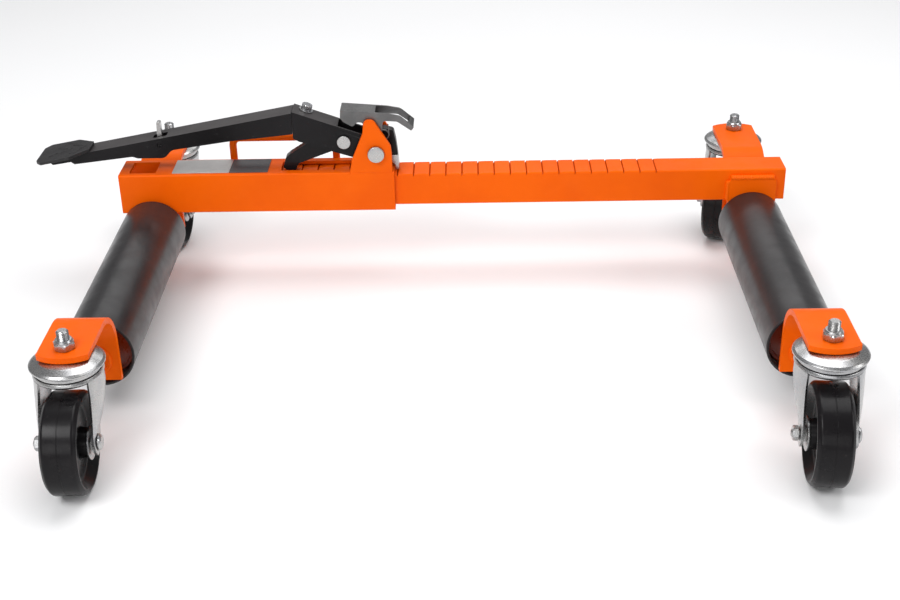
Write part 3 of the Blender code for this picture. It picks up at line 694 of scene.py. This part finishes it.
RACE = fillet([(6, 146.6), (6, 130.6), (17.5, 130.4), (27.5, 128.0), (34.2, 124.7), (36.4, 122.8), (36.4, 120.8),
               (32.0, 119.0), (32.0, 115.4), (6, 115.4), (6, 108.4), (11, 108.4), (9.5, 104)],
              [0, 0, 5, 8, 3, 1.2, 1.2, 1.0, 0.4, 0.4, 0.4, 0.6, 0], 4)
RACE = list(reversed(thread(6.0, 147.0, 156.0))) + RACE + [(0, 104)]
CROWN = fillet([(6.8, 109), (31.5, 109), (33.2, 110.4), (34.2, 112), (33.2, 114.8), (6.8, 114.8)],
               [0.3, 0.8, 0.6, 1.3, 0.8, 0.3], 4)
R, HALF = 50.8, 17.5                   # caster wheel radius and half width
TRAIL = 33.0                           # swivel axis to wheel axis
WHEEL = fillet([(8.4, -19), (14, -19), (15.5, -9.0), (36.5, -8.0), (42.3, -14.6), (45.0, -HALF), (47.0, -HALF),
                (R, -14.2), (R, -0.6), (R - 0.3, -0.3), (R - 0.3, 0.3), (R, 0.6), (R, 14.2), (47.0, HALF),
                (45.0, HALF), (42.3, 14.6), (36.5, 8.0), (15.5, 9.0), (14, 19), (8.4, 19)],
               [0.4, 1.2, 2, 5, 2, 0.8, 1.4, 3.6, 0.2, 0.1, 0.1, 0.2, 3.6, 1.4, 0.8, 2, 5, 2, 1.2, 0.4], 5)
HUB = fillet([(4.6, -22.0), (8, -22.0), (8, -21.2), (17.0, -21.0), (17.0, -19.3), (8.1, -19.3), (8.1, 19.3),
              (17.0, 19.3), (17.0, 21.0), (8, 21.2), (8, 22.0), (4.6, 22.0)], 0.3, 3)

for key, (row, hand) in CORNERS.items():
    tag = f"{row}_{hand}"
    swivel, roll = JOINTS[f"caster_{key}_swivel"], JOINTS[f"caster_{key}_roll"]
    x, y, _ = [v * 1000 for v in swivel["pos_m"]]
    yaw = math.degrees(math.atan2(roll["axis"][1], roll["axis"][0]))
    fixed, turned = at(x, y, 0), at(x, y, 0) @ turn("Z", yaw)
    wheel_at = turned @ at(0, -TRAIL, R)
    body = SIDES[hand]
    piece(f"race_{tag}", moved(spin(RACE, 112), fixed), body, "zinc", edge=0,
          replaces=[f"caster_{tag}_race"])
    nut_turn = fixed @ turn("Z", 22 if hand == "left" else -12)
    collar = soft([(0, 143.4), (9.0, 143.4), (9.0, 145.0), (7.9, 146.9), (6.3, 147.0), (0, 147.0)], 0.6)
    piece(f"lock_nut_{tag}", moved(hexagon(19, 136.7, 144.2, 1.2), nut_turn), body, "zinc", edge=0.25,
          add=[moved(spin(collar, 64), fixed)],
          cut=[moved(spin([(0, 130), (6.1, 130), (6.1, 150), (0, 150)], 48), fixed)],
          replaces=[f"caster_{tag}_nut"])
    hole = moved(spin([(0, -60), (4.4, -60), (4.4, 60), (0, 60)], 40), at(0, -TRAIL, R) @ ALONG_X)
    piece(f"fork_{tag}", moved(spin(CROWN, 96, loop=True), turned), f"fork_{key}", "zinc", edge=0.5, sharp=45,
          add=[moved(fork_leg(s), turned) for s in (-1, 1)], cut=[moved(hole, turned)],
          replaces=[f"caster_{tag}_fork"])
    piece(f"wheel_{tag}", moved(spin(WHEEL, 160, loop=True), wheel_at @ ALONG_X), f"wheel_{key}", "wheel_black",
          edge=0, replaces=[f"caster_{tag}_wheel"])
    piece(f"hub_{tag}", moved(spin(HUB, 72, loop=True), wheel_at @ ALONG_X), f"wheel_{key}", "zinc", edge=0,
          replaces=[f"caster_{tag}_hub"])
    shank = [(0, -35.0)] + [(r, -h) for r, h in reversed(thread(4.0, 27.0, 35.0, 1.25, 0.5)[:-1])]
    shank += [(4.0, 27.9), (8.2, 27.9), (8.2, 28.8), (6.6, 30.6), (4.0, 31.4), (0, 31.4)]
    bolt = moved(spin(shank, 56), wheel_at @ ALONG_X)
    nut = moved(hexagon(13, -33.4, -27.7, 0.9), wheel_at @ ALONG_X)
    piece(f"axle_bolt_{tag}", bolt, f"fork_{key}", "zinc", add=[nut], edge=0.15, sharp=38,
          replaces=[f"caster_{tag}_bolt"])


# ---- pedal -------------------------------------------------------------------------------------------
ARM0, ARM1 = span("pedal_arm")
Y0, Y1 = ARM0.y, ARM1.y
SHEET = 3.0


def arm_top(x):
    return 160.2 + (x + 483.0) * 0.1838


FOOT, BEND = -483.0, -188.0
under = [(FOOT, 152.6), (-458.5, 156.6), (-454.5, 153.6), (-383.0, 162.2), (-377.0, 160.0), (-344.0, 160.0),
         (-335.0, 170.0), (-263.0, 180.4), (BEND, 188.0)]
arm = fillet(shift(under + [(BEND, arm_top(BEND)), (FOOT, arm_top(FOOT))]),
             [4, 2, 1.5, 6, 6, 10, 10, 0, 0.8, 0.8, 2.5], 5)
void = shift([(FOOT + 3, 130.0), (BEND + 9, 130.0), (BEND + 9, arm_top(BEND + 9) - SHEET),
              (FOOT + 3, arm_top(FOOT + 3) - SHEET)])


def top_edges(line, slack=1.2):
    """Chooses the long edges lying on the sheet's top line, where it is folded down."""
    def chosen(p, q):
        on_top = abs(p.z - line(p.x - DATUM)) < slack and abs(q.z - line(q.x - DATUM)) < slack
        on_side = abs(p.y - q.y) < 0.2 and min(abs(p.y - Y0), abs(p.y - Y1)) < 0.3
        return on_top and on_side and abs(p.x - q.x) > 6
    return chosen


piece("pedal_channel", prism(arm, Y0, Y1), "pedal", "black_paint", edge=0.55, big=(3.6, top_edges(arm_top)),
      replaces=["pedal_arm"],
      cut=[prism(void, Y0 + SHEET, Y1 - SHEET),
           slab(fillet([(DATUM - 357.5, BEAM_Y - 6), (DATUM - 340.5, BEAM_Y - 6), (DATUM - 340.5, BEAM_Y + 6),
                        (DATUM - 357.5, BEAM_Y + 6)], 2.5), 176.5, 199.0),
           cyl_y(LATCH[0], LATCH[2], 2.7, Y0 - 5, Y1 + 5, 32)])

left_end, right_end = (-187.6, 216.2), (-107.0, 187.0)
slope = (right_end[1] - left_end[1]) / (right_end[0] - left_end[0])


def hinge_top(x):
    return left_end[1] + (x - left_end[0]) * slope


hinge = fillet(shift([left_end, (-187.6, 182.5), (-181.0, 178.6), (-171.0, 175.6), (-143.0, 166.0),
                      (-118.0, 158.0), (-97.0, 153.6),
                      (-88.0, 152.8), (-79.0, 156.0), (-74.5, 163.0), (-75.0, 171.0), (-80.0, 177.5), right_end]),
               [0.8, 2, 6, 12, 20, 20, 14, 12, 12, 10, 10, 10, 10], 6)
hollow = shift([(-199.0, 120.0), (-60.0, 120.0), (-60.0, 240.0), (-134.0, 240.0), (-134.0, hinge_top(-134) - 3.2),
                (-199.0, hinge_top(-199) - 3.2)])
SCREW_X = -172.5
screw_low, screw_high = span("pedal_screw")
tilt = math.degrees(math.atan(slope))
screw_at = at(SCREW_X + DATUM, (screw_low.y + screw_high.y) / 2, hinge_top(SCREW_X)) @ turn("Y", -tilt)
piece("hinge_channel", prism(hinge, Y0, Y1), "pedal", "black_paint", edge=0.55, big=(3.2, top_edges(hinge_top, 1.5)),
      replaces=["hinge_arm"],
      cut=[prism(hollow, Y0 + SHEET, Y1 - SHEET), cyl_y(PX, PZ, 5.4, Y0 - 5, Y1 + 5),
           cyl_y(PAWL[0], PAWL[2], 4.4, Y0 - 5, Y1 + 5),
           moved(spin([(0, -8), (4.3, -8), (4.3, 8), (0, 8)], 40), screw_at)])

cap = [(0, -9), (3.9, -9), (3.9, 0.2), (8.6, 0.2), (8.6, 1.5), (0, 1.5)]
piece("bend_screw", moved(spin(soft(cap, 0.4), 56), screw_at), "pedal", "zinc", edge=0.2,
      add=[moved(hexagon(12.6, 1.4, 8.0, 1.0), screw_at)], replaces=["pedal_screw"])

# foot pad: sheet with cut corners, covered in ribbed rubber
P0, P1 = span("pedal_pad")
half = (P1.y - P0.y) / 2
plan = [(P1.x, -12.5), (P1.x - 3, -14.0), (P1.x - 22, -half), (P0.x + 7, -half), (P0.x, -half + 9), (P0.x, half - 9),
        (P0.x + 7, half), (P1.x - 22, half), (P1.x - 3, 14.0), (P1.x, 12.5)]
plan = fillet([(x, BEAM_Y + y) for x, y in plan], [2, 2, 5, 4, 4, 4, 4, 5, 2, 2], 4)


def pad_z(x):
    return arm_top(x - DATUM)


def sloped(outline, low, high):
    body = slab(outline, 0.0, 1.0)
    return [(x, y, pad_z(x) + (low if z < 0.5 else high)) for x, y, z in body[0]], body[1]


ribs = []
# raised marks on the pad: start from the pad's left end and middle, then run along X and Y
for dx, dy, ex, ey in ((14, -15, 10, 9), (27, -8, 13, 10), (40, -17, 14, 10), (20, 9, 14, -6), (38, 12, 15, -7),
                       (50, -4, 7, 6), (30, 20, 12, -3)):
    ox, oy = P0.x + dx, BEAM_Y + dy
    n = Vector((-ey, ex)).normalized() * 0.9
    strip = [(ox - n.x, oy - n.y), (ox + ex - n.x, oy + ey - n.y), (ox + ex + n.x, oy + ey + n.y),
             (ox + n.x, oy + n.y)]
    ribs.append(sloped(fillet(strip, 0.8, 4), 3.5, 4.9))
piece("foot_pad", sloped(plan, 0.5, 4.2), "pedal", "nylon", edge=0.7, add=ribs, replaces=["pedal_pad"])

# pins through the pedal
pin = soft([(0, Y0 - 3.2), (8.2, Y0 - 3.2), (8.2, Y0 - 0.2), (4, Y0 - 0.2), (4, Y1 + 0.2), (7.5, Y1 + 0.2),
            (7.5, Y1 + 2.2), (0, Y1 + 2.2)], 0.6)
piece("pawl_pin_round", moved(spin(pin, 64), at(PAWL[0], 0, PAWL[2]) @ ALONG_Y), "pedal", "zinc", edge=0,
      replaces=["pawl_pin"])
a, b = span("latch_pin")
pin = soft([(0, a.y), ((b.z - a.z) / 2, a.y), ((b.z - a.z) / 2, b.y), (0, b.y)], 0.5)
piece("latch_pin_round", moved(spin(pin, 40), at(LATCH[0], 0, LATCH[2]) @ ALONG_Y), "pedal", "black_paint", edge=0,
      replaces=["latch_pin"])

# drive pawl
a, b = span("drive_pawl")
pawl = fillet(shift([(-136.0, 185.5), (-127.0, 187.5), (-119.5, 184.5), (-117.3, 177.0), (-121.0, 169.5),
                     (-142.0, 163.5), (-184.0, 147.8), (-186.5, 142.0), (-188.0, 139.6), (-198.5, 139.6),
                     (-203.0, 143.0), (-199.0, 155.5), (-193.5, 160.2), (-171.5, 174.0)]),
              [6, 8, 8, 8, 8, 12, 5, 2, 0.5, 1, 2, 6, 5, 14], 5)
piece("drive_pawl_plate", prism(pawl, a.y, b.y), "pawl", "black_paint", edge=1.3, replaces=["drive_pawl"],
      cut=[cyl_y(PAWL[0], PAWL[2], 4.5, Y0, Y1)])

# storage latch
a, b = span("storage_latch")
hook = fillet(shift([(-351.7, 202.6), (-347.3, 202.6), (-346.4, 182.0), (-344.6, 176.0), (-346.8, 171.2),
                     (-352.5, 163.0), (-360.5, 161.4), (-361.5, 164.6), (-354.4, 174.0), (-352.6, 184.0)]),
              [1.7, 1.7, 10, 3, 4, 4, 1.2, 1.2, 6, 10], 5)
piece("latch_tab", prism(hook, a.y, b.y), "latch", "zinc", edge=0.5, replaces=["storage_latch"],
      cut=[cyl_y(LATCH[0], LATCH[2], 2.6, a.y - 4, b.y + 4, 32)])

# ---- release handle, holding pawl and spring -----------------------------------------------------------
a, b = span("release_handle")
cheek = fillet(shift([(-129.0, 219.2), (-129.5, 210.2), (-126.0, 205.2), (-115.0, 198.7), (-110.0, 204.2),
                      (-103.0, 204.2), (-97.0, 190.0), (-98.5, 166.6), (-95.5, 159.5), (-88.2, 156.5),
                      (-80.9, 159.5), (-78.0, 166.6), (-80.5, 188.0), (-79.0, 205.7), (-62.0, 204.6),
                      (-45.5, 192.7), (-42.0, 197.2), (-59.0, 211.7), (-75.0, 214.7)]),
               [3, 3, 3, 3, 4, 5, 10, 8, 6, 8, 6, 8, 10, 3, 8, 1.5, 1.5, 12, 20], 6)
bridge = shift([(-129.0, 216.6), (-88.0, 213.2), (-88.0, 215.8), (-129.0, 219.2)])
loop = fillet(shift([(-51.0, 196.7), (-45.5, 192.7), (-42.0, 197.2), (-47.5, 201.4)]), 1.4, 4)
rear = fillet(shift([(-129.0, 219.2), (-129.0, 215.4), (-122.0, 212.7), (-100.0, 207.7), (-79.0, 205.7),
                     (-62.0, 204.6), (-45.5, 192.7), (-42.0, 197.2), (-59.0, 211.7), (-75.0, 214.7)]),
              [1.5, 1.5, 6, 10, 6, 8, 1.5, 1.5, 12, 20], 6)
piece("handle_sheet", prism(cheek, a.y, a.y + 2.6), "handle", "steel", edge=0.5, replaces=["release_handle"],
      add=[prism(rear, b.y - 2.6, b.y), prism(bridge, a.y + 0.5, b.y - 0.5), prism(loop, a.y + 0.5, b.y - 0.5)],
      cut=[cyl_y(PX, PZ, 5.5, a.y - 5, b.y + 5)])

a, b = span("holding_pawl")
holder = fillet(shift([(-95.5, 174.0), (-88.2, 177.8), (-85.0, 186.0), (-80.0, 192.0), (-67.5, 188.5), (-65.0, 176.0),
                       (-63.5, 162.0), (-62.3, 150.0), (-62.0, 139.0), (-66.4, 138.4), (-66.8, 144.2),
                       (-74.0, 150.0), (-80.0, 155.0), (-88.2, 155.6), (-96.0, 159.0), (-99.0, 166.6)]),
                [6, 3, 5, 3, 4, 6, 8, 3, 0.8, 0.6, 3, 4, 6, 8, 6, 8], 5)
CUT = 157.0
piece("holding_pawl_lug", prism(holder, a.y, b.y), "holder", "black_paint", edge=0.9, replaces=["holding_pawl"],
      cut=[cyl_y(PX, PZ, 5.5, Y0, Y1), box(DATUM - 76.0, DATUM - 55.0, a.y - 5, b.y + 5, 120.0, CUT)])
piece("holding_pawl_tip", prism(holder, a.y, b.y), "holder", "zinc", edge=0.7,
      keep=[box(DATUM - 75.98, DATUM - 55.0, a.y - 5, b.y + 5, 120.0, CUT - 0.02)])

turns = [(-73.2, 0, 200.5), (-72.9, 0, 196.5), (-72.6, 0, 193.0)]
for k in range(49):
    t = math.radians(11.25 * k)
    turns.append((-78.6 + 6.0 * math.cos(t), 0.036 * k, 187.0 + 6.0 * math.sin(t)))
WIRE_R = 0.7
turns = [(x + DATUM, Y0 - 2.75 + y, z) for x, y, z in turns]
piece("torsion_spring", rod(turns, WIRE_R, 14), "frame", "steel", edge=0, replaces=["pawl_spring"])

# ---- studio -----------------------------------------------------------------------------------------------
floor_mesh = bpy.data.meshes.new("floor")
floor_mesh.from_pydata([(-6, -5, 0), (6, -5, 0), (6, 9, 0), (-6, 9, 0)], [], [(0, 1, 2, 3)])
floor = bpy.data.objects.new("floor", floor_mesh)
bpy.context.scene.collection.objects.link(floor)
ground = Graph("pale_floor")
ground.link(ground.mix(ground.window(ground.noise(1.5, 2.0), 0.3, 0.7), (0.93, 0.93, 0.935), (0.915, 0.915, 0.92)),
            ground.bsdf.inputs["Base Color"])
ground.bsdf.inputs["Roughness"].default_value = 0.7
ground.bsdf.inputs["Specular IOR Level"].default_value = 0.1
floor_mesh.materials.append(ground.mat)

world = bpy.data.worlds.new("studio")
bpy.context.scene.world = world
world.use_nodes = True
sky = world.node_tree.nodes["Background"]
sky.inputs["Color"].default_value = (0.98, 0.985, 1.0, 1.0)
sky.inputs["Strength"].default_value = 0.3


def softbox(name, where, aim, size, power, height=None):
    lamp = bpy.data.lights.new(name, "AREA")
    lamp.shape, lamp.size, lamp.size_y = "RECTANGLE", size, height or size
    lamp.energy = power
    obj = bpy.data.objects.new(name, lamp)
    bpy.context.scene.collection.objects.link(obj)
    obj.location = where
    obj.rotation_euler = (Vector(aim) - Vector(where)).to_track_quat("-Z", "Y").to_euler()


softbox("key", (-1.1, -1.5, 2.1), (0, 0.1, 0.05), 1.3, 34, 0.9)
softbox("fill", (-0.5, -2.8, 1.0), (0, 0.1, 0.1), 2.4, 17, 1.0)
softbox("wash", (0, 4.2, 2.8), (0, 4.2, 0), 4.0, 45, 2.0)
softbox("top", (0.3, 0.5, 2.3), (0, 0, 0), 2.2, 36, 1.6)
softbox("side", (2.0, -0.6, 1.1), (0, 0, 0.1), 1.0, 9, 0.7)

# ---- camera -----------------------------------------------------------------------------------------------
camera = bpy.data.cameras.new("camera")
camera.sensor_width, camera.lens = 36.0, 56.0
view = bpy.data.objects.new("camera", camera)
bpy.context.scene.collection.objects.link(view)
yaw, pitch, roll = (math.radians(v) for v in (-1.02, 28.0, -1.22))
forward = Vector((math.sin(yaw) * math.cos(pitch), math.cos(yaw) * math.cos(pitch), -math.sin(pitch)))
right = Vector((math.cos(yaw), -math.sin(yaw), 0))
up = right.cross(forward)
tilted = right * math.cos(roll) + up * math.sin(roll)
upright = up * math.cos(roll) - right * math.sin(roll)
view.matrix_world = Matrix.Translation((0.07135, -1.4012, 0.7954)) @ Matrix(
    (tilted, upright, -forward)).transposed().to_4x4()
bpy.context.scene.camera = view
bpy.context.scene.view_settings.view_transform = "Standard"

bpy.context.view_layer.update()
